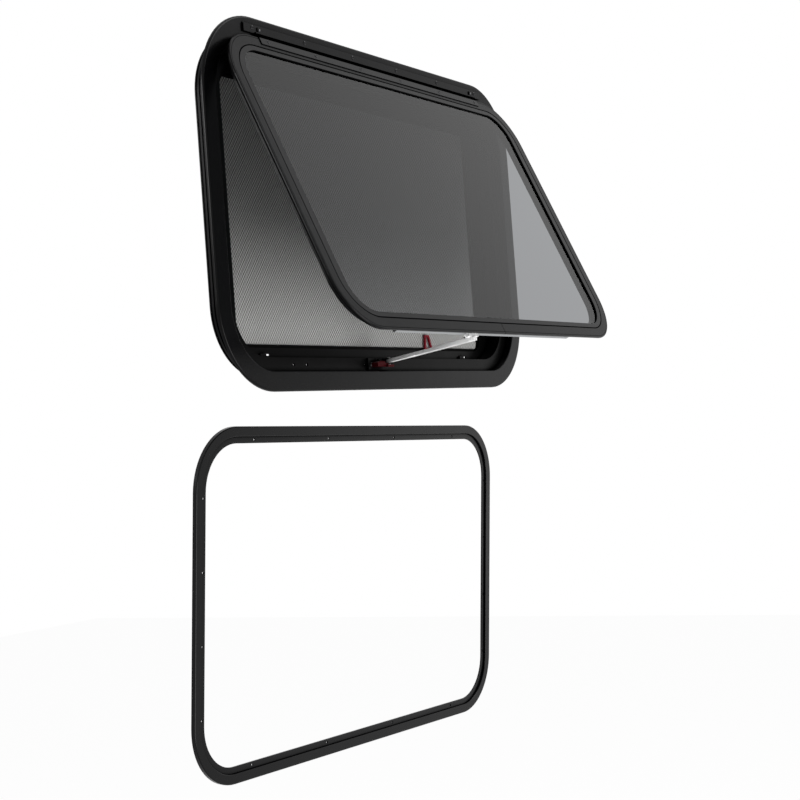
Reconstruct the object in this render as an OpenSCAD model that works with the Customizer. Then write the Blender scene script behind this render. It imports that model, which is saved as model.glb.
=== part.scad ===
// Top-hung caravan window: outer frame, opening sash on a stay arm, insect
// screen, and the inside trim ring standing apart below it.
// Millimetres, Z up, the outside of the caravan towards -Y.
// The origin lies on the wall side of the outer flange, in the middle of
// its bottom leg.

/* [Outer frame] */
// Overall width of the outer flange
frame_w = 754; // [500:1:1200]
// Overall height of the outer flange
frame_h = 458; // [350:1:800]
// Outside corner radius of the flange
frame_r = 103; // [80:1:160]
// Width of the flat flange leg
leg = 25; // [18:0.5:40]
// Thickness of the flange
flange_t = 4; // [3:0.5:6]
// Rounding on the outer edge of the flange
flange_edge = 2.5; // [0.5:0.1:3]
// Rounding on the inner edge of the flange
leg_edge = 1.2; // [0.4:0.1:1.8]
// Distance from the flange edge to the outside of the wall sleeve
sleeve_in = 19.5; // [15:0.5:35]
// Depth of the wall sleeve behind the front face
sleeve_d = 29.5; // [20:1:60]
// Depth of the two screw channels in the sleeve
channel_d = 1.2; // [0.5:0.1:2]
// Width of each screw channel
channel_w = 2.2; // [1:0.1:4]

/* [Seal seat] */
// Depth of the seal seat behind the front face
seat_y = 11.5; // [8:0.5:16]
// Visible width of the seal seat
seat_w = 18; // [12:0.5:30]
// Thickness of the seat and of the step behind it
seat_t = 2.5; // [1.5:0.1:4]
// Depth of the step from the seat face to the screen web
step_d = 22; // [12:1:40]
// Distance of the latch screw holes from the side of the flange
latch_in = 172; // [130:1:280]
// Spacing of the two latch screw holes
latch_hole_pitch = 28.7; // [15:0.1:50]
// Diameter of the small round holes in the seat
seat_hole_d = 4; // [2:0.1:6]
// Distance of the spare hole from the end of the stay's base plate
spare_gap = 4; // [3:0.5:12]

/* [Screen] */
// Width of the web beside the screen opening
web_side = 32; // [20:1:60]
// Width of the web below the screen opening
web_low = 14; // [8:1:40]
// Width of the web above the screen opening
web_top = 22; // [8:1:40]
// Thickness of the screen web
web_t = 2.5; // [1.5:0.1:4]
// Corner radius of the screen opening
web_r = 18; // [10:1:40]
// How far the screen frame laps over the web
screen_lap = 7; // [3:0.5:12]
// Width of the side bars of the screen frame
screen_side = 10; // [8.5:0.5:25]
// Width of the top and bottom bars of the screen frame
screen_bar = 11; // [8.5:0.5:20]
// Thickness of the screen frame
screen_t = 8; // [5:0.5:14]
// Corner radius inside the screen frame
screen_r = 8; // [4:1:20]
// Thickness of the woven mesh
mesh_t = 0.6; // [0.3:0.1:1]
// Diameter of the spline that holds the mesh
spline_d = 3; // [2:0.5:4]
// Distance of the pull loop from the right side of the mesh
loop_in = 149; // [30:1:250]
// Width of the foot of the pull loop
loop_w = 22; // [20:1:40]
// Height of the pull loop above the mesh edge
loop_h = 18.5; // [14:0.5:40]
// Width of the side bars of the pull loop
loop_bar = 4; // [1.6:0.1:4.4]
// Thickness of the pull loop
loop_t = 2.2; // [1.2:0.1:3]
// Distance of the weep slots from the side of the flange
weep_in = 129.5; // [120:0.5:240]
// How far both weep slots sit to the right of even spacing
weep_shift = 4.3; // [0:0.1:10]
// Length of a weep slot
weep_l = 11; // [8:1:30]
// Height of a weep slot
weep_h = 2.2; // [1.5:0.1:5]

/* [Hinge] */
// Angle that the sash stands open
sash_open = 23.94; // [0:0.5:30]
// Distance of the hinge pin line below the top of the flange
pivot_in = 23.7; // [20:0.1:35]
// Distance of the hinge pin line in front of the flange
pivot_out = 3.7; // [3.7:0.1:9]
// Radius of the hinge bead
bead_r = 2; // [1.5:0.1:3]
// Clearance between the bead and the curl round it
bead_gap = 0.4; // [0.2:0.1:0.6]
// Thickness of the hinge leaf
leaf_t = 1.2; // [1:0.1:2]
// Thickness of the curl round the bead
curl_t = 1.1; // [0.8:0.1:1.2]
// Height of the hinge leaf on the sash
leaf_h = 10.4; // [8:0.1:15]
// Distance from the side of the sash to the end of the hinge leaf
leaf_in = 87; // [70:1:180]
// Distance from the side of the flange to the end of the hinge rail
rail_in = 83.5; // [80:0.5:180]
// Height of the hinge rail on the flange
rail_h = 11; // [10:0.5:18]
// Thickness of the hinge rail
rail_t = 2.5; // [1.5:0.1:3.5]

/* [Sash] */
// How far the sash laps over the frame opening at each side
lap_side = 6.5; // [0:0.5:9]
// How far the sash laps over the frame opening at the bottom
lap_low = 2.5; // [0:0.1:10]
// Distance from the pin line forward to the face of the sash
sash_front = 2.33; // [2:0.01:6]
// Outside corner radius of the sash
sash_r = 68.5; // [45:1:120]
// Width of the bezel
bezel_w = 15.2; // [14:0.1:20]
// Width of the groove between the bezel and the glazing bead
groove_w = 1.6; // [0.8:0.1:2.5]
// Thickness of the lip under the bezel
lip_t = 2.5; // [1.5:0.1:4]
// Distance from the sash edge to the body behind the lip
body_in = 13; // [7:0.5:13.5]
// Depth of the sash body behind its face
body_d = 14; // [11:0.5:20]
// Distance from the sash edge to the inside of the body
body_inner = 27; // [22:0.5:35]
// Thickness of the glass
glass_t = 4; // [3:0.5:6]
// Depth of the outer face of the glass
glass_y = 2.6; // [2:0.1:5]
// Distance from the sash edge to the glass at the sides
bead_side = 28; // [22:0.5:40]
// Distance from the sash edge to the glass at top and bottom
bead_end = 23.2; // [20:0.1:40]
// Step from the bezel down to the glazing bead
bead_step = 0.3; // [0.1:0.1:1.5]
// Width of the seam where the ends of the bent profile meet
seam_w = 1; // [0.2:0.1:1.5]

/* [Stay] */
// Distance from the left side of the sash to the track
track_left = 115.5; // [75:0.5:160]
// Distance from the right side of the sash to the track
track_right = 140.5; // [75:0.5:220]
// Depth of the track behind the sash body
track_d = 5; // [4:0.5:10]
// Height of the track
track_h = 13; // [9:0.5:18]
// Distance of the stay post from the middle
post_x = -12; // [-100:1:100]
// Distance of the slider from the middle
slider_x = -62; // [-150:1:0]
// Length of the slider
slider_l = 26; // [16:1:40]
// Diameter of the stay pin
pin_d = 4; // [3:0.5:6]
// Width of the stay arm
arm_w = 10; // [8:0.5:20]
// Height of the stay arm
arm_h = 4.2; // [3:0.1:5]
// Thickness of the base plate
base_t = 3; // [2:0.5:5]
// Length of the base plate
base_l = 49; // [44:1:80]
// Height of the base plate
base_h = 15; // [14:0.5:16]
// Length of the body of the release lever
lever_l = 26; // [20:1:30]
// Length of the tail of the release lever
tail_l = 9; // [6:1:40]

/* [Trim ring] */
// How much wider the trim ring is than the outer frame
ring_wider = 6; // [0:1:20]
// Outside corner radius of the trim ring
ring_r = 83; // [75:1:140]
// Width of the outer band of the trim ring
ring_band = 13; // [8:0.5:20]
// Width of the screw lip inside the band
ring_lip = 9; // [6:0.5:14]
// Depth of the band from the wall
ring_d = 6; // [4:0.5:14]
// Thickness of the screw lip
ring_lip_t = 2; // [1.5:0.1:4]
// Diameter of the screw holes in the trim ring
ring_hole_d = 3.6; // [2.5:0.1:5]
// Distance from the end of a long side to its first screw hole
ring_end_x = 122; // [90:1:200]
// Distance from the end of a short side to its first screw hole
ring_end_z = 90.25; // [85:0.25:120]
// Sideways place of the trim ring beside the window
ring_x = 82; // [-200:1:400]
// Place of the trim ring behind the front of the window
ring_y = 131.5; // [-200:1:400]
// Place of the middle of the trim ring below the middle of the window
ring_z = -502; // [-900:1:-480]
// Lean of the trim ring
ring_lean = 4.3; // [-20:0.1:20]
// Turn of the trim ring in its own plane
ring_turn = 1.59; // [-20:0.01:20]

/* [Hidden] */
$fn = 96;

// Derived sizes
flange_back = 2;
open_w = frame_w - 2 * leg;
open_h = frame_h - 2 * leg;
pivot_z = frame_h / 2 - pivot_in;
pivot_y = -pivot_out;
// Where the origin lies between the flange edge and the sleeve
origin_in = sleeve_in / 2;
// The seal seat and the step behind it
seat_in = leg + seat_w;
step_y = seat_y + step_d;
// The opening in the screen web
web_w = frame_w - 2 * (seat_in + web_side);
web_hi = frame_h / 2 - seat_in - web_top;
web_lo = -frame_h / 2 + seat_in + web_low;
// The weep slots and the latch screw holes
weep_x = frame_w / 2 - weep_in;
latch_hole_x = frame_w / 2 - latch_in;
// The screen frame behind the web
scr_y = step_y + web_t;
scr_w = web_w + 2 * screen_lap;
scr_hi = web_hi + screen_lap;
scr_lo = web_lo - screen_lap;
mesh_w = scr_w - 2 * screen_side;
mesh_hi = scr_hi - screen_bar;
mesh_lo = scr_lo + screen_bar;
mesh_y = scr_y + 2;
loop_x = mesh_w / 2 - loop_in;
// The sash
sash_drop = bead_r + bead_gap + curl_t + 0.1;
sash_w = open_w + 2 * lap_side;
sash_h = pivot_z - sash_drop + open_h / 2 + lap_low;
seal_t = 3.5;
bead_y = bead_step;
glass_in = bezel_w + groove_w;
leaf_half = sash_w / 2 - leaf_in;
rail_half = frame_w / 2 - rail_in;
// The stay
track_l = sash_w - track_left - track_right;
track_x = (track_left - track_right) / 2;
seat_z = -frame_h / 2 + leg + seat_w / 2;
post = [post_x, seat_y - base_t - arm_w / 2 - 2, seat_z + 4.4];
lever_z = seat_z - 3.2;
base_hole_x = post_x + 16 - base_l;
spare_x = post_x + 8 - base_l - spare_gap;
slider_e = body_d + track_d / 2;
track_up = 7.2;
slider_lo = 3;
tip = sash_point(slider_x, slider_e, sash_h - slider_lo + arm_h / 2 + 0.8);
arm_run = tip - post;
arm_l = norm(arm_run);
arm_yaw = atan2(arm_run[1], arm_run[0]);
arm_pitch = -asin(arm_run[2] / arm_l);
// The trim ring
ring_in = ring_band + ring_lip;
ring_w = frame_w + ring_wider;
ring_pitch_x = (ring_w - 2 * ring_end_x) / 3;
ring_pitch_z = (frame_h - 2 * ring_end_z) / 3;

// A point on the sash: across, in from the face, down from the top edge
function sash_point(x, e, h) = [
    x,
    pivot_y + (e - sash_front) * cos(sash_open) - (sash_drop + h) * sin(sash_open),
    pivot_z - (e - sash_front) * sin(sash_open) - (sash_drop + h) * cos(sash_open)
];

// Moves a piece from the middle of the window to the origin on the flange
module in_place() {
    translate([0, -flange_t, frame_h / 2 - origin_in])
        children();
}

// The sash as it hangs closed, swung open about the hinge pin line
module on_sash() {
    in_place()
        translate([0, pivot_y, pivot_z])
            rotate([-sash_open, 0, 0])
                translate([0, -sash_front, -sash_drop])
                    children();
}

// A flat rounded rectangle
module rounded(w, h, r) {
    square([w - 2 * r, h], center = true);
    square([w, h - 2 * r], center = true);
    for (x = [-1, 1])
        for (y = [-1, 1])
            translate([x * (w / 2 - r), y * (h / 2 - r)])
                circle(r);
}

// Stands a flat shape up, with its thickness running back from y
module stand(y, t) {
    translate([0, y + t, 0])
        rotate([90, 0, 0])
            linear_extrude(t)
                children();
}

// Runs a profile round a rounded rectangle, as the bender does with the
// extrusion. Each point is the distance in from the edge and the depth.
module bent_ring(w, h, r, profile) {
    q = [for (p = profile) [r - p[0], -p[1]]];
    rotate([90, 0, 0])
        for (k = [0:3]) {
            a = k % 2 == 0 ? w : h;
            b = k % 2 == 0 ? h : w;
            rotate([0, 0, 90 * k]) {
                translate([a / 2 - r, b / 2 - r, 0])
                    rotate_extrude(angle = 90)
                        polygon(q);
                translate([a / 2 - r, -(b / 2 - r), 0])
                    rotate([90, 0, 0])
                        translate([0, 0, -(b - 2 * r)])
                            linear_extrude(b - 2 * r)
                                polygon(q);
            }
        }
}

// A profile of depth and height drawn along the width
module along_width(half) {
    translate([-half, 0, 0])
        rotate([90, 0, 90])
            linear_extrude(2 * half)
                children();
}

// Outer frame
module outer_flange() {
    e = flange_edge;
    i = leg_edge;
    // The outer edge is a quarter round and the inner one a small bevel.
    // The back ends in a mitre, where the sleeve starts.
    edge = [for (a = [0:18:90]) [e * (1 - cos(a)), e * (1 - sin(a))]];
    color("#232426")
        in_place()
            bent_ring(frame_w, frame_h, frame_r, concat(
                [[0, flange_t]], edge,
                [[leg - i, 0], [leg - 0.3 * i, 0.3 * i], [leg, i],
                 [leg, flange_back], [sleeve_in, flange_t]]
            ));
}

module wall_sleeve() {
    s = sleeve_in;
    c = channel_d;
    w = channel_w;
    g1 = sleeve_d - 9.6;
    g2 = sleeve_d - 4.6;
    color("#2b2c2e")
        in_place()
            bent_ring(frame_w, frame_h, frame_r, [
                [s, flange_t], [leg, flange_back], [leg, sleeve_d],
                [s + 1, sleeve_d], [s, sleeve_d - 1],
                [s, g2 + w], [s + c, g2 + w], [s + c, g2], [s, g2],
                [s, g1 + w], [s + c, g1 + w], [s + c, g1], [s, g1]
            ]);
}

module seal_seat() {
    z = seat_z;
    color("#242527")
        in_place()
            difference() {
                bent_ring(frame_w, frame_h, frame_r, [
                    [leg, seat_y], [seat_in, seat_y],
                    [seat_in, seat_y + seat_t], [leg, seat_y + seat_t]
                ]);
                for (x = [-latch_hole_x - latch_hole_pitch / 2, -latch_hole_x + latch_hole_pitch / 2, spare_x, base_hole_x])
                    translate([x, seat_y - 1, z])
                        rotate([-90, 0, 0])
                            cylinder(h = seat_t + 2, d = seat_hole_d);
            }
}

module frame_step() {
    color("#222325")
        in_place()
            bent_ring(frame_w, frame_h, frame_r, [
                [seat_in - seat_t, seat_y + seat_t], [seat_in, seat_y + seat_t],
                [seat_in, step_y], [seat_in - seat_t, step_y]
            ]);
}

module screen_web() {
    o = seat_in - seat_t;
    color("#1f2022")
        in_place()
            difference() {
                stand(step_y, web_t)
                    difference() {
                        rounded(frame_w - 2 * o, frame_h - 2 * o, frame_r - o);
                        translate([0, (web_hi + web_lo) / 2])
                            rounded(web_w, web_hi - web_lo, web_r);
                    }
                for (x = [-1, 1])
                    translate([x * weep_x + weep_shift, step_y + web_t / 2, web_lo - web_low + 5])
                        cube([weep_l, web_t + 2, weep_h], center = true);
            }
}

// Insect screen
module screen_frame() {
    mid = (scr_hi + scr_lo) / 2;
    h = scr_hi - scr_lo;
    mh = mesh_hi - mesh_lo;
    color("#18191a")
        in_place()
            difference() {
                stand(scr_y, screen_t)
                    translate([0, mid])
                        difference() {
                            rounded(scr_w, h, screen_r + 10);
                            rounded(mesh_w, mh, screen_r);
                        }
                stand(mesh_y + mesh_t, screen_t)
                    translate([0, mid])
                        difference() {
                            rounded(mesh_w + 11, mh + 11, screen_r + 5.5);
                            rounded(mesh_w + 4, mh + 4, screen_r + 2);
                        }
            }
}

module screen_mesh() {
    mid = (mesh_hi + mesh_lo) / 2;
    color("#8f9193")
        in_place()
            stand(mesh_y, mesh_t)
                translate([0, mid])
                    rounded(mesh_w, mesh_hi - mesh_lo, screen_r);
}

module screen_spline() {
    mid = (mesh_hi + mesh_lo) / 2;
    mh = mesh_hi - mesh_lo;
    color("#101010")
        in_place()
            stand(mesh_y + mesh_t, spline_d)
                translate([0, mid])
                    difference() {
                        rounded(mesh_w + 10.6, mh + 10.6, screen_r + 5.3);
                        rounded(mesh_w + 4.4, mh + 4.4, screen_r + 2.2);
                    }
}

module screen_clips() {
    y = scr_y + screen_t;
    color("#151515")
        in_place()
            for (s = [-1, 1])
                for (z = [scr_hi - 60, scr_lo + 60])
                    translate([s * (scr_w / 2 + 5), 0, z]) {
                        translate([0, y + 3, 0])
                            rotate([90, 0, 0])
                                linear_extrude(3) {
                                    square([26, 12], center = true);
                                    translate([s * 13, 0])
                                        circle(6);
                                }
                        translate([s * 13, scr_y + 4, 0])
                            rotate([-90, 0, 0])
                                translate([0, 0, -4])
                                    cylinder(h = screen_t + 0.5, d = 8);
                    }
}

module screen_pull_loop() {
    w = loop_w;
    t = loop_bar;
    color("#7a1f28")
        in_place()
            translate([loop_x, scr_y, mesh_lo])
                stand(-loop_t, loop_t)
                    difference() {
                        polygon([
                            [-w / 2, -2], [w / 2, -2], [w / 6, loop_h],
                            [-w / 2 + 2.5, loop_h]
                        ]);
                        polygon([
                            [-w / 2 + t, 0], [w / 2 - t, 0],
                            [w / 6 - t + 0.8, loop_h - 2.6], [2.2 - w / 2 + t, loop_h - 2.6]
                        ]);
                    }
}

module weep_cover_left() {
    weep_cover(-1);
}

module weep_cover_right() {
    weep_cover(1);
}

// The small plastic hood beside a weep slot
module weep_cover(s) {
    color("#0e0e0e")
        in_place()
            translate([s * weep_x + weep_shift - weep_l / 2 - 7, step_y - 1.5, web_lo - web_low + 3.6])
                cube([12, 3, 5], center = true);
}

// Hinge
module hinge_rail() {
    color("#2a2b2d")
        in_place() {
            along_width(rail_half)
                translate([-rail_t, pivot_z + bead_r + 1.2])
                    difference() {
                        square([rail_t, rail_h]);
                        translate([-0.01, rail_h - 1.2])
                            square([1.2, 1.3]);
                    }
            along_width(leaf_half)
                union() {
                    translate([pivot_y, pivot_z])
                        circle(bead_r);
                    translate([pivot_y - 0.7, pivot_z])
                        square([1.4, bead_r + 2.4]);
                    translate([pivot_y - 0.7, pivot_z + bead_r + 1.2])
                        square([pivot_out - rail_t + 1.4, 1.6]);
                }
        }
}

module hinge_leaf() {
    r = bead_r + bead_gap;
    k = 2.5 * (r + curl_t);
    color("#303133")
        in_place()
            translate([0, pivot_y, pivot_z])
                rotate([-sash_open, 0, 0]) {
                    along_width(leaf_half)
                        difference() {
                            circle(r + curl_t);
                            circle(r);
                            polygon(k * [[0, 0], [1, 0], [1, 1], [-0.72, 1], [-0.58, 0.33]]);
                        }
                    translate([0, -sash_front - leaf_t, -sash_drop - leaf_h])
                        translate([-leaf_half, 0, 0])
                            cube([2 * leaf_half, leaf_t, leaf_h]);
                    translate([-leaf_half, -sash_front - leaf_t, -sash_drop])
                        cube([2 * leaf_half, leaf_t + 1.4, leaf_t]);
                }
}

module hinge_end_stop(s) {
    color("#1c1d1e")
        in_place()
            translate([s * (leaf_half - 8) - 3.5, -rail_t - 1.5, pivot_z + bead_r + 3])
                cube([7, 1.5, 6]);
}

module hinge_end_stop_left() {
    hinge_end_stop(-1);
}

module hinge_end_stop_right() {
    hinge_end_stop(1);
}

// Sash
module sash_frame() {
    b = body_in;
    i = body_inner;
    color("#37383a")
        on_sash()
            translate([0, 0, -sash_h / 2])
                difference() {
                    bent_ring(sash_w, sash_h, sash_r, [
                        [0, lip_t], [0, 0.9], [0.9, 0], [2.4, 0], [2.4, 0.4],
                        [3.1, 0.4], [3.1, 0], [bezel_w - 0.4, 0],
                        [bezel_w, 0.4], [bezel_w, body_d - 4.5], [i, body_d - 4.5],
                        [i, body_d], [b, body_d], [b, lip_t]
                    ]);
                    translate([0, 0, -sash_h / 2 + bezel_w / 2])
                        cube([seam_w, 2 * seam_w, bezel_w + 2], center = true);
                }
}

module sash_seal() {
    color("#0d0d0d")
        on_sash()
            translate([0, 0, -sash_h / 2])
                bent_ring(sash_w, sash_h, sash_r, [
                    [1.2, lip_t], [6.6, lip_t], [6.6, lip_t + 2],
                    [5.4, lip_t + seal_t], [2.4, lip_t + seal_t],
                    [1.2, lip_t + 2]
                ]);
}

module glazing_bead() {
    color("#2f3032")
        on_sash()
            translate([0, 0, -sash_h / 2])
                stand(bead_y, glass_y - bead_y)
                    difference() {
                        rounded(sash_w - 2 * glass_in, sash_h - 2 * glass_in, sash_r - glass_in);
                        rounded(sash_w - 2 * bead_side, sash_h - 2 * bead_end, sash_r - 27);
                    }
}

module glazing_gasket() {
    color("#0b0b0b")
        on_sash()
            translate([0, 0, -sash_h / 2])
                bent_ring(sash_w, sash_h, sash_r, [
                    [bezel_w, bead_y + 1.2], [glass_in, bead_y + 1.2],
                    [glass_in, glass_y + glass_t], [body_inner - 1, glass_y + glass_t],
                    [body_inner - 1, body_d - 4.5], [bezel_w, body_d - 4.5]
                ]);
}

module glass_pane() {
    g = glass_in;
    color("#3b3f42", 0.6)
        on_sash()
            translate([0, 0, -sash_h / 2])
                stand(glass_y, glass_t)
                    rounded(sash_w - 2 * g, sash_h - 2 * g, sash_r - g);
}

module sash_track() {
    z = -sash_h + track_up;
    color("#b9bbbd")
        on_sash()
            translate([track_x - track_l / 2, body_d, z])
                difference() {
                    cube([track_l, track_d, track_h]);
                    translate([-1, 1.4, 2.2])
                        cube([track_l + 2, track_d - 2.8, track_h - 4.4]);
                    translate([-1, 2, 4.2])
                        cube([track_l + 2, track_d, track_h - 8.4]);
                }
}

module track_end_left() {
    track_end(-1);
}

module track_end_right() {
    track_end(1);
}

// The black plug that closes an end of the track
module track_end(s) {
    z = -sash_h + track_up;
    color("#111111")
        on_sash()
            translate([track_x + s * (track_l / 2 + 0.8) - 0.8, body_d, z])
                cube([1.6, track_d, track_h]);
}

// Stay
module stay_slider() {
    z = -sash_h + slider_lo;
    color("#c9cbcd")
        on_sash()
            translate([slider_x, slider_e, z]) {
                translate([-slider_l / 2, -3, 0])
                    cube([slider_l, 6, track_up - slider_lo]);
                translate([0, 0, -arm_h - 1])
                    cylinder(h = arm_h + 2, d = 3);
            }
}

module stay_arm() {
    neck = 0.8 * arm_w;
    color("#c4c6c8")
        in_place()
            translate(post)
                rotate([0, arm_pitch, arm_yaw])
                    difference() {
                        union() {
                            // The bar narrows towards the post
                            translate([0, 0, -arm_h / 2])
                                linear_extrude(arm_h)
                                    polygon([
                                        [0, -neck / 2], [0.3 * arm_l, -arm_w / 2], [arm_l, -arm_w / 2],
                                        [arm_l, arm_w / 2], [0.3 * arm_l, arm_w / 2], [0, neck / 2]
                                    ]);
                            translate([0, 0, -arm_h / 2])
                                cylinder(h = arm_h, d = neck);
                            translate([arm_l, 0, -arm_h / 2])
                                cylinder(h = arm_h, d = arm_w);
                        }
                        for (x = [0, arm_l])
                            translate([x, 0, -arm_h])
                                cylinder(h = 2 * arm_h, d = pin_d + 1.4);
                        translate([0.3 * arm_l, -arm_w / 2 + 1.4, -arm_h / 2 - 1])
                            cube([0.7 * arm_l - 10, arm_w - 2.8, arm_h - 0.4]);
                    }
}

module stay_link() {
    color("#55585a")
        in_place()
            translate(post)
                rotate([0, arm_pitch, arm_yaw])
                    translate([0.58 * arm_l, -1.8, arm_h / 2])
                        cube([0.37 * arm_l, 3.6, 1.4]);
}

module stay_rivet() {
    color("#141414")
        in_place()
            translate(post)
                rotate([0, arm_pitch, arm_yaw])
                    translate([0.92 * arm_l, 0, arm_h / 2 + 1.4])
                        cylinder(h = 1.8, d1 = 6, d2 = 4);
}

module stay_base() {
    x = post_x;
    back = seat_y - base_t;
    color("#0f0f10")
        in_place()
            difference() {
                union() {
                    translate([x + 8 - base_l, back, seat_z + 1 - base_h / 2])
                        cube([base_l, base_t, base_h]);
                    for (z = [post[2] - arm_h / 2 - 1.9, post[2] + arm_h / 2 + 0.3])
                        translate([x - 6, post[1] - 4, z])
                            cube([12, back - post[1] + 4, 1.6]);
                }
                translate([x + 8 - base_l + 8, 0, seat_z])
                    rotate([-90, 0, 0])
                        cylinder(h = 20, d = seat_hole_d);
                translate([x, post[1], seat_z - 20])
                    cylinder(h = 40, d = pin_d + 0.2);
            }
}

module stay_pin() {
    color("#8d8f91")
        in_place()
            translate([post_x, post[1], post[2] - arm_h / 2 - 3])
                cylinder(h = arm_h + 6, d = pin_d);
}

module stay_lever() {
    x = post_x - 9;
    back = seat_y - base_t;
    z = lever_z;
    color("#8c1f29")
        in_place() {
            translate([x - lever_l, back - 11, z])
                difference() {
                    cube([lever_l, 11, 7]);
                    translate([lever_l - 8, -1, 4.6])
                        cube([9, 13, 3]);
                    translate([-1, -1, 5])
                        rotate([0, -18, 0])
                            cube([12, 13, 6]);
                }
            translate([x - 6, back - 14.5, z - 0.6])
                difference() {
                    cube([tail_l + 6, 4.5, 3]);
                    translate([8, 1.5, -1])
                        cube([tail_l + 6, 1.5, 5]);
                }
        }
}

module lever_pin() {
    back = seat_y - base_t;
    color("#0c0c0c")
        in_place()
            translate([post_x - 9 - lever_l + 12, back - 5, lever_z + 7])
                cylinder(h = 4, d = 3.4);
}

// Inside trim ring, apart from the window
module trim_ring() {
    f = ring_in;
    color("#2a2b2d")
        in_place()
            translate([ring_x, ring_y, ring_z])
                rotate([ring_lean, 0, 0])
                    rotate([0, ring_turn, 0])
                        difference() {
                            bent_ring(ring_w, frame_h, ring_r, [
                                [0, ring_d], [0, 1.2], [0.4, 0.4], [1.2, 0],
                                [ring_band - 0.6, 0], [ring_band, 0.6],
                                [ring_band, ring_d - ring_lip_t - 1],
                                [f, ring_d - ring_lip_t - 1], [f, ring_d - 1],
                                [ring_band - 2, ring_d - 1], [ring_band - 2, 2],
                                [2, 2], [2, ring_d]
                            ]);
                            ring_holes();
                        }
}

// The sixteen screw holes of the trim ring
module ring_holes() {
    u = ring_band + ring_lip / 2;
    for (k = [-1.5:1:1.5])
        for (s = [-1, 1]) {
            translate([k * ring_pitch_x, -1, s * (frame_h / 2 - u)])
                rotate([-90, 0, 0])
                    cylinder(h = ring_d + 2, d = ring_hole_d);
            translate([s * (ring_w / 2 - u), -1, k * ring_pitch_z])
                rotate([-90, 0, 0])
                    cylinder(h = ring_d + 2, d = ring_hole_d);
        }
}

outer_flange();
wall_sleeve();
seal_seat();
frame_step();
screen_web();
screen_frame();
screen_mesh();
screen_spline();
screen_clips();
screen_pull_loop();
weep_cover_left();
weep_cover_right();
hinge_rail();
hinge_leaf();
hinge_end_stop_left();
hinge_end_stop_right();
sash_frame();
sash_seal();
glazing_bead();
glazing_gasket();
glass_pane();
sash_track();
track_end_left();
track_end_right();
stay_slider();
stay_arm();
stay_link();
stay_rivet();
stay_base();
stay_pin();
stay_lever();
lever_pin();
trim_ring();
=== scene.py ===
# %% [markdown]
# Caravan window, dressed in Blender.
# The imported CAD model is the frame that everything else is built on. It comes in at
# its real size, in metres, with X to the right, Y into the caravan and Z up.
# Nothing of it is moved. It gets its finishes here, the woven insect screen in place
# of a plain slab, and the heads of its screws and rivets.

import math

import bmesh
import bpy
from mathutils import Matrix, Vector


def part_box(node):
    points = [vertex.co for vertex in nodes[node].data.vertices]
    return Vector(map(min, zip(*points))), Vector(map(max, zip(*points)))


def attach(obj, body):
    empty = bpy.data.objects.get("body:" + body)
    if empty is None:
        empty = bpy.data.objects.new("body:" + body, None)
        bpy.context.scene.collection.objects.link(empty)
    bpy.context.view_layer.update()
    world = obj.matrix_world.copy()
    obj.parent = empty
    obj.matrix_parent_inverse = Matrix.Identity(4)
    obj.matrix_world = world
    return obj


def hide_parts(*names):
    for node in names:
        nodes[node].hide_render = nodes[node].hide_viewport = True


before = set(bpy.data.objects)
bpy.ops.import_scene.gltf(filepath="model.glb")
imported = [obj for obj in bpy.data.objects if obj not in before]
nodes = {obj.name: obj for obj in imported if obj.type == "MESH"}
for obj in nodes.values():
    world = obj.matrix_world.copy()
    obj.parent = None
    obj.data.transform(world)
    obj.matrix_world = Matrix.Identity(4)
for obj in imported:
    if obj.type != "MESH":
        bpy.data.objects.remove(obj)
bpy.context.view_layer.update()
MM = 0.001

# %% [markdown]
# Colours are picked as on a screen, in sRGB hex, but the renderer counts in linear
# light. One function does that turn, so each finish below can be written as it looks.
# A material is a tree of nodes. A second function adds one node, fills in its
# settings and joins its inputs to others, so that a finish reads as a short recipe.

# %% Colour and node helpers


def linear(hex_colour):
    """The standard sRGB curve: straight near black, then a power of 2.4."""
    parts = [int(hex_colour[i : i + 2], 16) / 255 for i in (1, 3, 5)]
    return [p / 12.92 if p <= 0.04045 else ((p + 0.055) / 1.055) ** 2.4 for p in parts] + [1.0]


def new_material(name):
    made = bpy.data.materials.new(name)
    made.use_nodes = True
    made.node_tree.nodes.clear()
    return made, made.node_tree


def add(tree, kind, settings=None, links=None):
    """Adds a node. Settings fill its sockets or options, links join sockets to outputs."""
    node = tree.nodes.new(kind)
    for key, value in (settings or {}).items():
        if isinstance(key, int) or key in node.inputs:
            node.inputs[key].default_value = value
        else:
            setattr(node, key, value)
    for key, source in (links or {}).items():
        tree.links.new(source, node.inputs[key])
    return node


WHITE = linear("#ffffff")
print("white is", WHITE, "and the middle grey #808080 is", round(linear("#808080")[0], 3))

# %% [markdown]
# The photograph was taken from the left of the window and a little below its middle,
# with a long lens. Azimuth, elevation and roll were worked out from the window's own
# straight edges and arcs, and place the camera 2.2 m from it. A 72 mm lens on a
# 36 mm sensor gives the same perspective. Placing the camera by eye would be quicker,
# but then no edge could be compared with the photograph. A camera looks along its own
# -Z, so its three axes are the columns of its matrix: right, up and back.

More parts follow.
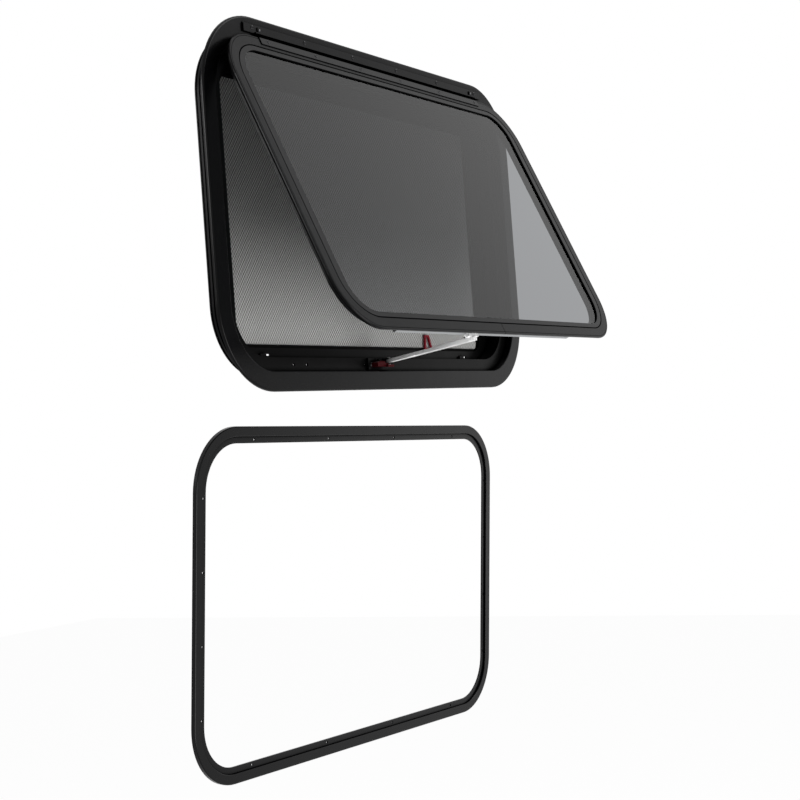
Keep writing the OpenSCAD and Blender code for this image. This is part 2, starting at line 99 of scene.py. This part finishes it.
# %% Camera
AZIMUTH, ELEVATION, ROLL = (math.radians(v) for v in (-58.2646, -1.4682, -4.173))
CAMERA_PLACE = (-1.84285, -1.14743, -0.08027)
LENS_MM, SENSOR_MM = 72, 36
back = Vector((
    math.sin(AZIMUTH) * math.cos(ELEVATION),
    -math.cos(AZIMUTH) * math.cos(ELEVATION),
    math.sin(ELEVATION),
))
level = Vector((math.cos(AZIMUTH), math.sin(AZIMUTH), 0))
upright = back.cross(level)
right = level * math.cos(ROLL) + upright * math.sin(ROLL)
up = upright * math.cos(ROLL) - level * math.sin(ROLL)
lens = bpy.data.cameras.new("studio_camera")
lens.lens, lens.sensor_width = LENS_MM, SENSOR_MM
camera = bpy.data.objects.new("studio_camera", lens)
bpy.context.collection.objects.link(camera)
turned = Matrix((right, up, back)).transposed().to_4x4()
camera.matrix_world = Matrix.Translation(CAMERA_PLACE) @ turned
bpy.context.scene.camera = camera
print("camera at", CAMERA_PLACE, "looks along", [round(-v, 3) for v in back])

# %% [markdown]
# A white studio. The room shows as plain white, straight on and mirrored in paint,
# metal and glass, but as a light it is weak, so that the lamps decide what is bright.
# A black object needs that: what the eye sees on it is mostly what it mirrors, and an
# even light from all round would wash the shade out of the screen behind the sash.
# Cycles tells the two apart by the kind of ray that asks. A Light Path node answers 1
# for the rays that see the room, and a Mix Shader picks the background by that.

# %% World
SOFT_LIGHT = 0.15
PLAIN_WHITE = 1.0


def seen_directly(tree):
    """1 for a ray from the camera, also by way of a mirror or glass, and 0 for light."""
    path = add(tree, "ShaderNodeLightPath")
    one = add(tree, "ShaderNodeMath", {"operation": "MAXIMUM"},
              {0: path.outputs["Is Camera Ray"], 1: path.outputs["Is Glossy Ray"]})
    return add(tree, "ShaderNodeMath", {"operation": "MAXIMUM"},
               {0: one.outputs[0], 1: path.outputs["Is Transmission Ray"]}).outputs[0]


world = bpy.data.worlds.new("white_studio")
bpy.context.scene.world = world
world.use_nodes = True
tree = world.node_tree
tree.nodes.clear()
soft = add(tree, "ShaderNodeBackground", {"Color": WHITE, "Strength": SOFT_LIGHT})
plain = add(tree, "ShaderNodeBackground", {"Color": WHITE, "Strength": PLAIN_WHITE})
mixed = add(tree, "ShaderNodeMixShader", None,
            {0: seen_directly(tree), 1: soft.outputs[0], 2: plain.outputs[0]})
add(tree, "ShaderNodeOutputWorld", None, {"Surface": mixed.outputs[0]})
bpy.context.scene.view_settings.view_transform = "Standard"
print("the room lights with", SOFT_LIGHT, "and is seen as", PLAIN_WHITE)

# %% [markdown]
# The floor lies 1.35 m under the window, about as far as the ground under a caravan's
# window. It has to be as white as the room and still keep a shadow. White paint alone
# would come out grey wherever the lamps hardly reach. So most of what a ray sees there
# is an even glow, and a small share is matt paint, which the shadow darkens.

# %% Floor
FLOOR_SIDE, FLOOR_Z = 16, -1.35
FLOOR_GLOW, FLOOR_GLOW_SHARE = 1.04, 0.93
bpy.ops.mesh.primitive_plane_add(size=FLOOR_SIDE, location=(0, 0, FLOOR_Z))
floor = bpy.context.object
floor.name = "studio_floor"
pale, tree = new_material("pale_studio_floor")
matt = add(tree, "ShaderNodeBsdfDiffuse", {"Color": linear("#e9e9e9")})
bright = add(tree, "ShaderNodeEmission", {"Color": WHITE, "Strength": FLOOR_GLOW})
share = add(tree, "ShaderNodeMath", {"operation": "MULTIPLY", 1: FLOOR_GLOW_SHARE},
            {0: seen_directly(tree)})
shown = add(tree, "ShaderNodeMixShader", None,
            {0: share.outputs[0], 1: matt.outputs[0], 2: bright.outputs[0]})
add(tree, "ShaderNodeOutputMaterial", None, {"Surface": shown.outputs[0]})
floor.data.materials.append(pale)
print("floor at z", FLOOR_Z, "m")

# %% [markdown]
# Five square lamps. Large ones give soft shadows, as studio softboxes do. One lamp
# would do for a pale object, but each side of a black one shows only what it faces:
# - The key lamp stands high in front and to the right, and lights the tilted sash.
# - The low lamp stands in front and below. It reaches under the open sash, and the
#   screen has its light from there, most of it near the bottom.
# - The edge lamp stands far to the left and high, a little behind the wall's plane.
#   Only the frame's flat outer edges on that side face it, and it draws a thin line
#   of light along them.
# - The side lamp stands to the right, where the camera's view of the frame is
#   mirrored to, so that the black faces grow a little lighter towards the right.
# - The back lamp stands inside, for views from behind.

# %% Lamps
LAMPS = {  # place and target in m, side of the square in m, power in W
    "key_lamp": ((1.8, -2.2, 2.4), (0, 0, 0), 1.6, 44),
    "low_lamp": ((-0.2, -2.0, -0.8), (0, 0, 0.1), 1.4, 36),
    "edge_lamp": ((-2.5, 1.0, 0.95), (-0.38, 0, 0.2), 0.8, 40),
    "side_lamp": ((2.6, -1.0, -0.1), (0.2, 0, 0.1), 1.2, 2),
    "back_lamp": ((-0.8, 2.8, 1.2), (0, 0, 0), 1.8, 45),
}
for name, (place, target, side, watts) in LAMPS.items():
    light = bpy.data.lights.new(name, "AREA")
    light.shape, light.size, light.energy = "SQUARE", side, watts
    lamp = bpy.data.objects.new(name, light)
    bpy.context.collection.objects.link(lamp)
    lamp.location = place
    lamp.rotation_mode = "QUATERNION"
    lamp.rotation_quaternion = (Vector(target) - Vector(place)).to_track_quat("-Z", "Y")
    print(name, "at", place, watts, "W")

# %% [markdown]
# The frame, the sash and the trim ring are aluminium extrusions with a satin black
# powder coat: a thin skin of melted plastic powder, nearly black below, with a soft
# sheen and a fine orange peel of about half a millimetre. A noise of that size bends
# the light in small waves, and a slow one varies the gloss from place to place.
# An even plastic would have a Specular IOR Level of 0.5. In a room that is white all
# round that makes grey, so each coat has about a fifth of it, matched to how light the
# piece looks, which paints light and shade into its sheen. On the real window they are
# all one coat.
# Where two profiles meet, the eye sees a fine black line, because a crease mirrors
# its other wall and not the room. That shade is painted into the coat: an Ambient
# Occlusion node measures how much open air is near a point, and takes the sheen away
# where there is little. Thin dark strips along each crease would be the other way,
# and far more work.

# %% A dull skin
PEEL_MM, PEEL_DEPTH_MM = 0.6, 0.03
GLOSS_PATCH_MM = 35
CREASE_MM = 7
CREASE_AIR, OPEN_AIR = 0.6, 0.95  # the share of open air deep in a crease, and outside it
CREASE_SHEEN = 0.03  # what a crease keeps of the sheen
MIDDLE_OF_NOISE = {"From Min": 0.3, "From Max": 0.7}  # a noise is rarely outside of this


def speckle(tree, size_mm):
    """Noise in the object's own metres, with features of about that size."""
    where = add(tree, "ShaderNodeTexCoord")
    return add(tree, "ShaderNodeTexNoise", {"Scale": 1 / (size_mm * MM), "Detail": 2.0},
               {"Vector": where.outputs["Object"]}).outputs["Fac"]


def dull_skin(name, colour, rough, sheen):
    """Paint, rubber or moulded plastic, with painted shade in its creases. rough is its least and
    greatest roughness.
    """
    made, tree = new_material(name)
    peel = add(tree, "ShaderNodeBump", {"Strength": 0.25, "Distance": PEEL_DEPTH_MM * MM},
               {"Height": speckle(tree, PEEL_MM)})
    gloss = add(tree, "ShaderNodeMapRange",
                {**MIDDLE_OF_NOISE, "To Min": rough[0], "To Max": rough[1]},
                {"Value": speckle(tree, GLOSS_PATCH_MM)})
    # Painted shade: the sheen is taken away in creases, where little open air is near.
    air = add(tree, "ShaderNodeAmbientOcclusion", {"samples": 8, "Distance": CREASE_MM * MM})
    crease_shaded_sheen = add(tree, "ShaderNodeMapRange",
                 {"From Min": CREASE_AIR, "From Max": OPEN_AIR,
                  "To Min": CREASE_SHEEN * sheen, "To Max": sheen},
                 {"Value": air.outputs["AO"]})
    # The socket's own number is for exports, which drop a linked sheen.
    skin = add(tree, "ShaderNodeBsdfPrincipled",
               {"Base Color": linear(colour), "Specular IOR Level": sheen},
               {"Roughness": gloss.outputs["Result"], "Normal": peel.outputs[0],
                "Specular IOR Level": crease_shaded_sheen.outputs["Result"]})
    add(tree, "ShaderNodeOutputMaterial", None, {"Surface": skin.outputs[0]})
    return made


print("orange peel of", PEEL_MM, "mm, creases within", CREASE_MM, "mm")

# %% [markdown]
# These are copies of one coat, each set lighter or darker to paint in light and shade.
# The open sash tilts up towards the key lamp, so it gets a little less sheen than the
# upright frame, and comes out as light as in the photograph. The bead and the trim ring
# get more sheen, as painted sheen. The walls of the recess are made duller and blacker,
# as painted shade. The screen frame is matt, as such frames are, and made blacker than
# the coat, as painted shade along the screen's edge.

# %% Powder-coated aluminium
COAT_ROUGH = (0.2, 0.26)
# Copies of one coat, each with its sheen and black set to paint in the light and shade on its
# piece.
powder_black = dull_skin("powder_coated_aluminium", "#050506", COAT_ROUGH, sheen=0.09)
sash_black = dull_skin("powder_coated_sash_profile", "#050506", COAT_ROUGH, sheen=0.073)
bead_black = dull_skin("powder_coated_glazing_bead", "#060607", COAT_ROUGH, sheen=0.1)
ring_black = dull_skin("powder_coated_trim_ring", "#060607", (0.22, 0.28), sheen=0.125)
# Painted shade: the recess walls are made blacker and duller than the frame, for the shade they lie
# in.
recess_shaded_black = dull_skin("powder_coated_recess", "#040404", (0.3, 0.36), sheen=0.045)
# Partly painted shade: a matt frame, made blacker than the coat for the shade along the screen's
# edge.
matt_black = dull_skin("matt_painted_screen_frame", "#040404", (0.45, 0.52), sheen=0.03)
print([m.name for m in (powder_black, sash_black, bead_black, ring_black, recess_shaded_black, matt_black)])

# %% [markdown]
# The rail's bead and the leaf's curl round it sit in a narrow gap under the rail, where
# they lie in deep shade. That shade is painted: dull black up to a line, and the powder
# coat past it. The rail and the leaf are one solid each, so the line is drawn in the
# material. A point's distance along a direction is the dot product of the two, and a
# Map Range goes from painted shade to the coat within 0.4 mm at the line.

# %% Hinge coat, with painted shade in its gap
SASH_OPEN = math.radians(23.94)
PIN_Y, PIN_Z = -7.7, 424.55  # the line that the sash turns about, in mm
CURL_REACH = 4.9  # how far the curl reaches below that line, in mm
BEAD_TOP = 427.8  # where the rail's bead ends and its coat starts, in mm
LINE_HALF_WIDTH = 0.2  # in mm
HINGE_SHEEN = 0.1
# The second colour is painted shade, for the dark gap where the hinge turns.
HINGE_COAT, HINGE_SHADE = "#060607", "#010101"


def coat_with_painted_shade(name, direction, start_mm):
    """The powder coat, with painted shade in dull black on all that lies short of the start along
    the direction.
    """
    made = dull_skin(name, HINGE_COAT, COAT_ROUGH, HINGE_SHEEN)
    tree = made.node_tree
    skin = next(n for n in tree.nodes if n.bl_idname == "ShaderNodeBsdfPrincipled")
    where = add(tree, "ShaderNodeTexCoord")
    along = add(tree, "ShaderNodeVectorMath", {"operation": "DOT_PRODUCT", 1: direction},
                {0: where.outputs["Object"]})
    # Painted shade: 0 in the hinge's dark gap, 1 where the coat shows.
    coated = add(tree, "ShaderNodeMapRange",
                 {"From Min": (start_mm - LINE_HALF_WIDTH) * MM,
                  "From Max": (start_mm + LINE_HALF_WIDTH) * MM},
                 {"Value": along.outputs["Value"]}).outputs["Result"]
    sheen = add(tree, "ShaderNodeMath", {"operation": "MULTIPLY", 1: HINGE_SHEEN}, {0: coated})
    colour = add(tree, "ShaderNodeMix",
                 {"data_type": "RGBA", "A": linear(HINGE_SHADE), "B": linear(HINGE_COAT)},
                 {"Factor": coated})
    tree.links.new(sheen.outputs[0], skin.inputs["Specular IOR Level"])
    tree.links.new(colour.outputs["Result"], skin.inputs["Base Color"])
    return made


down_the_sash = (0, -math.sin(SASH_OPEN), -math.cos(SASH_OPEN))
leaf_starts = PIN_Y * down_the_sash[1] + PIN_Z * down_the_sash[2] + CURL_REACH
leaf_coat = coat_with_painted_shade("powder_coated_hinge_leaf", down_the_sash, leaf_starts)
rail_coat = coat_with_painted_shade("powder_coated_hinge_rail", (0, 0, 1), BEAD_TOP)
print("leaf coated from", round(leaf_starts, 1), "mm down the sash, rail from", BEAD_TOP, "mm up")

# %% [markdown]
# Rubber is extruded, rough, and hardly shines. The clips, covers and the stay's base
# are moulded polyamide, which takes a fine grain from its mould. Both are a dull skin
# like the coat, only rougher. The pull loop is a clear dark red. The release lever
# lies in the shade of the frame and looks nearly brown, so a deeper red is painted on
# it as painted shade.

# %% Rubber and plastics
RED_ROUGH = (0.4, 0.46)
rubber = dull_skin("extruded_rubber", "#050505", (0.62, 0.7), sheen=0.03)
polyamide = dull_skin("moulded_black_polyamide", "#070707", (0.42, 0.5), sheen=0.1)
loop_red = dull_skin("moulded_red_polyamide", "#7e1b28", RED_ROUGH, sheen=0.05)
# Painted shade: the lever's red is made deeper for the shade of the frame it lies in.
lever_red_in_shade = dull_skin("moulded_red_polyamide_painted_shade", "#3a070c", RED_ROUGH, sheen=0.04)
print([m.name for m in (rubber, polyamide, loop_red, lever_red_in_shade)])

# %% [markdown]
# The stay is drawn aluminium, silver anodised. Under its clear skin the etched metal
# scatters the light, so it looks nearly white from all sides. A full Metallic would
# mirror the black sash above it and look dark, so it has only a tenth. The track under
# the sash is plain mill aluminium, greyer, and a true metal. Both were drawn through a
# die, which leaves fine lines along X: a noise that is stretched that way.

# %% Bare metals
GRAIN_DEPTH_MM = 0.02
ROUND_GRAIN = (1, 1, 1)


def bare_metal(name, colour, metallic, rough, grain_mm, stretch=ROUND_GRAIN):
    """Metal with a fine grain. A stretch below 1 on an axis makes the grain longer there."""
    made, tree = new_material(name)
    where = add(tree, "ShaderNodeTexCoord")
    along = add(tree, "ShaderNodeMapping", {"Scale": stretch}, {"Vector": where.outputs["Object"]})
    grain = add(tree, "ShaderNodeTexNoise", {"Scale": 1 / (grain_mm * MM), "Detail": 3.0},
                {"Vector": along.outputs[0]}).outputs["Fac"]
    bump = add(tree, "ShaderNodeBump", {"Strength": 0.2, "Distance": GRAIN_DEPTH_MM * MM},
               {"Height": grain})
    gloss = add(tree, "ShaderNodeMapRange",
                {**MIDDLE_OF_NOISE, "To Min": rough[0], "To Max": rough[1]}, {"Value": grain})
    metal = add(tree, "ShaderNodeBsdfPrincipled",
                {"Base Color": linear(colour), "Metallic": metallic},
                {"Roughness": gloss.outputs["Result"], "Normal": bump.outputs[0]})
    add(tree, "ShaderNodeOutputMaterial", None, {"Surface": metal.outputs[0]})
    return made


anodised = bare_metal("silver_anodised_aluminium", "#ffffff", 0.1, (0.42, 0.52), 0.5, (0.1, 1, 1))
mill = bare_metal("mill_finish_aluminium", "#a6a8aa", 1.0, (0.4, 0.5), 0.8, (0.05, 1, 1))
print(anodised.name, mill.name)

# %% [markdown]
# The pane is grey tinted float glass, 4 mm thick, and so it is flat and polished.
# Glass in Blender can bend each ray, but a flat pane hardly moves what lies behind it,
# and the bending costs time. So this one is two films: Transparent colours what lies
# behind, and Glossy mirrors by Fresnel. A ray crosses two faces, so it is coloured
# twice: 0.52 here lets about a quarter of the view through, with a slight blue.
# Only the face that a ray enters by mirrors, or the pane would mirror twice. Fresnel's
# IOR for glass is 1.5. It is 1.36 here, for the fainter mirror that the pane shows.
# Light that falls through the pane onto the screen is dimmed more than the view. That
# is a choice of the looks: it keeps the screen behind the sash in its dark shade.

# %% Tinted glass
TINT_SEEN = (0.52, 0.527, 0.537, 1)
TINT_LIGHT = (0.12, 0.12, 0.123, 1)
MIRROR_IOR, MIRROR_ROUGH = 1.36, 0.02
tinted, tree = new_material("grey_tinted_glass")
tint = add(tree, "ShaderNodeMix", {"data_type": "RGBA", "A": TINT_LIGHT, "B": TINT_SEEN},
           {"Factor": seen_directly(tree)})
through = add(tree, "ShaderNodeBsdfTransparent", None, {"Color": tint.outputs["Result"]})
mirror = add(tree, "ShaderNodeBsdfGlossy", {"Color": linear("#ebebeb"), "Roughness": MIRROR_ROUGH})
fresnel = add(tree, "ShaderNodeFresnel", {"IOR": MIRROR_IOR})
pane_side = add(tree, "ShaderNodeNewGeometry")
entering = add(tree, "ShaderNodeMath", {"operation": "SUBTRACT", 0: 1.0},
               {1: pane_side.outputs["Backfacing"]})
mirrored = add(tree, "ShaderNodeMath", {"operation": "MULTIPLY"},
               {0: fresnel.outputs[0], 1: entering.outputs[0]})
films = add(tree, "ShaderNodeMixShader", None,
            {0: mirrored.outputs[0], 1: through.outputs[0], 2: mirror.outputs[0]})
add(tree, "ShaderNodeOutputMaterial", None, {"Surface": films.outputs[0]})
print(tinted.name, "lets through", round(TINT_SEEN[1] ** 2, 2), "of the view")

# %% [markdown]
# The insect screen is woven from grey coated glass fibre yarn. Real threads lie about
# 1.4 mm apart, finer than a pixel of the photograph, so they are drawn 2.45 by 3.05 mm
# apart, which gives the rows that the photograph shows. Each thread goes over one and
# under the next, and that makes lumps in staggered rows: the product of two sine waves.
# A slow noise bends the rows slightly, as a stretched cloth has it. Real threads in
# mesh would be hundreds of thousands of faces, for what is a pattern of light here.

# %% Thread pattern


def wave(tree, coordinate, length_mm):
    """A sine of that length along the coordinate, from -1 to 1."""
    turn = add(tree, "ShaderNodeMath", {"operation": "MULTIPLY", 1: 2 * math.pi / (length_mm * MM)},
               {0: coordinate})
    return add(tree, "ShaderNodeMath", {"operation": "SINE"}, {0: turn.outputs[0]}).outputs[0]


def thread(tree, coordinate, pitch_mm, covered):
    """1 on the thread and 0 between threads. covered is the thread's share of the pitch."""
    turns = add(tree, "ShaderNodeMath", {"operation": "MULTIPLY", 1: 1 / (pitch_mm * MM)},
                {0: coordinate})
    place = add(tree, "ShaderNodeMath", {"operation": "FRACT"}, {0: turns.outputs[0]})
    return add(tree, "ShaderNodeMath", {"operation": "LESS_THAN"},
               {0: place.outputs[0], 1: covered}).outputs[0]


ACROSS_MM, UP_MM = 2.45, 3.05
print("threads per metre", round(1 / (ACROSS_MM * MM)), "by", round(1 / (UP_MM * MM)))

# %% [markdown]
# The holes are see-through from straight ahead. From the side the round threads stand
# in front of each other and close them: the share that a thread covers grows as one
# over the cosine of the angle, which Layer Weight gives. The yarn is one grey, and its
# light and shade are painted with the lumps: dark between them, as painted shade where
# one thread dips under the next, and nearly white on top of them, as painted light.

# %% Woven screen
THREAD_SHARE = 0.58  # of the pitch, seen from straight ahead
BEND_MM, BEND_EACH_MM = 4, 45  # how far the rows are bent, and over what length
FLUFF_MM, FLUFF = 1.5, 0.35  # the unevenness of the yarn, beside a lump's height of 1
LUMP_RANGE = 1.2
YARN_DEPTH_MM = 0.3
woven_yarn, tree = new_material("woven_glass_fibre_yarn")
where = add(tree, "ShaderNodeTexCoord")
slow = add(tree, "ShaderNodeTexNoise", {"Scale": 1 / (BEND_EACH_MM * MM), "Detail": 1.0},
           {"Vector": where.outputs["Object"]})
bent = add(tree, "ShaderNodeVectorMath",
           {"operation": "MULTIPLY_ADD", 1: (BEND_MM * MM, 0, BEND_MM * MM)},
           {0: slow.outputs["Color"], 2: where.outputs["Object"]})
split = add(tree, "ShaderNodeSeparateXYZ", None, {"Vector": bent.outputs[0]})
x, z = split.outputs["X"], split.outputs["Z"]
lumps = add(tree, "ShaderNodeMath", {"operation": "MULTIPLY"},
            {0: wave(tree, x, 2 * ACROSS_MM), 1: wave(tree, z, 2 * UP_MM)})
fluff = add(tree, "ShaderNodeMapRange", {**MIDDLE_OF_NOISE, "To Min": -FLUFF, "To Max": FLUFF},
            {"Value": speckle(tree, FLUFF_MM)})
raised = add(tree, "ShaderNodeMath", {"operation": "ADD"},
             {0: lumps.outputs[0], 1: fluff.outputs["Result"]})
height = add(tree, "ShaderNodeMapRange", {"From Min": -LUMP_RANGE, "From Max": LUMP_RANGE},
             {"Value": raised.outputs[0]}).outputs["Result"]
# Painted light and shade: nearly white on top of the lumps, dark in the dips between them.
colour = add(tree, "ShaderNodeMix",
             {"data_type": "RGBA", "A": linear("#2d2c2a"), "B": linear("#dcdcda")},
             {"Factor": height})
bump = add(tree, "ShaderNodeBump", {"Strength": 0.4, "Distance": YARN_DEPTH_MM * MM},
           {"Height": height})
yarn = add(tree, "ShaderNodeBsdfPrincipled", {"Roughness": 0.65, "Specular IOR Level": 0.2},
           {"Base Color": colour.outputs["Result"], "Normal": bump.outputs[0]})
facing = add(tree, "ShaderNodeLayerWeight", {"Blend": 0.5})
cosine = add(tree, "ShaderNodeMath", {"operation": "SUBTRACT", 0: 1.0},
             {1: facing.outputs["Facing"]})
covered = add(tree, "ShaderNodeMath", {"operation": "DIVIDE", 0: THREAD_SHARE},
              {1: cosine.outputs[0]}).outputs[0]
either = add(tree, "ShaderNodeMath", {"operation": "MAXIMUM"},
             {0: thread(tree, x, ACROSS_MM, covered), 1: thread(tree, z, UP_MM, covered)})
hole = add(tree, "ShaderNodeBsdfTransparent", {"Color": WHITE})
cloth = add(tree, "ShaderNodeMixShader", None,
            {0: either.outputs[0], 1: hole.outputs[0], 2: yarn.outputs[0]})
add(tree, "ShaderNodeOutputMaterial", None, {"Surface": cloth.outputs[0]})
print(woven_yarn.name, "covers", THREAD_SHARE, "of the pitch each way")

# %% [markdown]
# The CAD has the screen as a slab with two faces, and a see-through weave on both
# would show twice. So a sheet of one layer takes its place, in the middle of the slab
# and of the same width and height, held stretched by its frame. It is a grid of plain
# squares, because a stretched screen is flat.

# %% Screen sheet
COLUMNS, ROWS = 48, 28
low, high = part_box("screen_mesh")
middle = (low[1] + high[1]) / 2
form = bmesh.new()
grid = [[form.verts.new((low[0] + (high[0] - low[0]) * i / COLUMNS, middle,
                         low[2] + (high[2] - low[2]) * j / ROWS)) for j in range(ROWS + 1)]
        for i in range(COLUMNS + 1)]
for i in range(COLUMNS):
    for j in range(ROWS):
        form.faces.new((grid[i][j], grid[i + 1][j], grid[i + 1][j + 1], grid[i][j + 1]))
sheet_mesh = bpy.data.meshes.new("flyscreen")
form.to_mesh(sheet_mesh)
form.free()
flyscreen = bpy.data.objects.new("flyscreen", sheet_mesh)
bpy.context.collection.objects.link(flyscreen)
flyscreen.data.materials.append(woven_yarn)
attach(flyscreen, "root")
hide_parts("screen_mesh")
print("sheet of", round((high[0] - low[0]) / MM, 1), "by", round((high[2] - low[2]) / MM, 1), "mm")

# %% [markdown]
# Small screws hold the hinge, the stay and the screen clips. A pan head is a shallow
# dome with a cross pressed into it, so it is drawn as one height over a round grid:
# the dome's height, less the cross where a point lies inside one of its two slots.
# Cutting the cross out with a Boolean would look the same and leave an untidy mesh.
# The last ring of points goes straight down from the rim to the surface.

# %% Screw head
RINGS, SPOKES = 12, 48
DOME_DROP, DOME_POWER = 0.65, 2.5  # the rim's share of the height that is lost, and how late
CROSS_DEPTH, CROSS_REACH = 0.5, 0.62  # shares of the head's height and radius


def head(name, place_mm, outward, radius, tall, cross, finish):
    """A round head in mm on a surface. cross is half a slot's width, and 0 leaves it out."""
    points, faces = [(0, 0, tall - (CROSS_DEPTH * tall if cross else 0))], []
    for i in range(1, RINGS + 1):
        r = radius * min(1, i / (RINGS - 1))
        for j in range(SPOKES):
            turn = 2 * math.pi * j / SPOKES
            u, v = r * math.cos(turn), r * math.sin(turn)
            z = 0 if i == RINGS else tall * (1 - DOME_DROP * (r / radius) ** DOME_POWER)
            if cross and max(abs(u), abs(v)) < CROSS_REACH * radius and min(abs(u), abs(v)) < cross:
                z -= CROSS_DEPTH * tall
            points.append((u, v, z))
    for j in range(SPOKES):
        k = (j + 1) % SPOKES
        faces.append((0, 1 + j, 1 + k))
        for i in range(RINGS - 1):
            a, b = 1 + i * SPOKES, 1 + (i + 1) * SPOKES
            faces.append((a + j, b + j, b + k, a + k))
    mesh = bpy.data.meshes.new(name)
    mesh.from_pydata([(x * MM, y * MM, z * MM) for x, y, z in points], [], faces)
    mesh.materials.append(finish)
    made = bpy.data.objects.new(name, mesh)
    bpy.context.collection.objects.link(made)
    made.rotation_mode = "QUATERNION"
    made.rotation_quaternion = Vector(outward).to_track_quat("Z", "Y")
    made.location = Vector(place_mm) * MM
    return made


print("a head has", SPOKES * (2 * RINGS - 1), "triangles")

# %% [markdown]
# Each head sits on the face that its screw goes through. Those on the hinge's leaf tilt
# with the open sash, so their places are measured on the sash, across, in and down, and
# then turned about the hinge's pin line. Zinc plate that was blackened shows as dark
# grey metal. The two rivets at the ends of the hinge are bright steel.

# %% Screws and rivets
LEAF_FACE_MM, LEAF_TOP_MM = -2.33, 3.6  # the sash's face and top edge, seen from the pin line


def on_sash(x, inward, down):
    """A point on the open sash: across, in from its face and down from its top edge, in mm."""
    e, h = inward + LEAF_FACE_MM, LEAF_TOP_MM + down
    return (x, PIN_Y + e * math.cos(SASH_OPEN) - h * math.sin(SASH_OPEN),
            PIN_Z - e * math.sin(SASH_OPEN) - h * math.cos(SASH_OPEN))


black_steel = bare_metal("black_zinc_plated_steel", "#2a2a2b", 1.0, (0.3, 0.4), 0.3)
bare_steel = bare_metal("bright_steel_rivet", "#58585a", 1.0, (0.25, 0.35), 0.3)
outside, inside = (0, -1, 0), (0, 1, 0)
out_of_sash = (0, -math.cos(SASH_OPEN), math.sin(SASH_OPEN))
rail_places = [(x, -6.5, 434.25) for x in (-276.5, -166, -55, 55, 166, 276.5)]
leaf_places = [on_sash(x, -1.2, 5.2) for x in (-256, -154, -49, 52, 158, 262)]
clip_places = [(x, 43.0, z) for z in (330.25, 100.25) for x in (-327, 327)]
stop_places = [(x, -8.0, 432.55) for x in (-263.5, 263.5)]
HEADS = [  # name, places, direction, radius, height and half slot width in mm, finish
    ("rail_screw", rail_places, outside, 2.6, 1.2, 0.45, black_steel),
    ("leaf_screw", leaf_places, out_of_sash, 2.2, 0.7, 0.4, black_steel),
    ("clip_screw", clip_places, inside, 3.4, 1.8, 0.6, black_steel),
    ("stop_rivet", stop_places, outside, 1.5, 0.8, 0, bare_steel),
    ("base_screw", [(-45, 4.5, 24.25)], outside, 3.4, 1.6, 0.6, black_steel),
]
screws = []
for name, places, *shape in HEADS:
    for i, place in enumerate(places):
        numbered = f"{name}_{i + 1}" if len(places) > 1 else name
        screws.append(head(numbered, place, *shape))
for screw in screws:
    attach(screw, "root")
print(len(screws), "heads:", [s.name for s in screws])

# %% [markdown]
# Each CAD node gets the finish of the real piece. The node keeps its mesh, and only
# what fills its material slot changes, so nothing can move. The line printed at the
# end names any node that was forgotten.

# %% Finishes
finishes = {
    powder_black: ["outer_flange", "wall_sleeve"],
    recess_shaded_black: ["seal_seat", "frame_step", "screen_web"],
    sash_black: ["sash_frame"],
    bead_black: ["glazing_bead"],
    ring_black: ["trim_ring"],
    rail_coat: ["hinge_rail"],
    leaf_coat: ["hinge_leaf"],
    matt_black: ["screen_frame"],
    rubber: ["screen_spline", "sash_seal", "glazing_gasket"],
    polyamide: ["screen_clips", "weep_cover_left", "weep_cover_right", "hinge_end_stop_left",
                "hinge_end_stop_right", "track_end_left", "track_end_right", "stay_rivet",
                "stay_base", "lever_pin"],
    loop_red: ["screen_pull_loop"],
    lever_red_in_shade: ["stay_lever"],
    anodised: ["stay_slider", "stay_arm", "stay_link", "stay_pin"],
    mill: ["sash_track"],
    tinted: ["glass_pane"],
    woven_yarn: ["screen_mesh"],
}
for finish, names in finishes.items():
    for name in names:
        nodes[name].data.materials.clear()
        nodes[name].data.materials.append(finish)
dressed = {n for names in finishes.values() for n in names}
print("left without a finish:", sorted(set(nodes) - dressed))
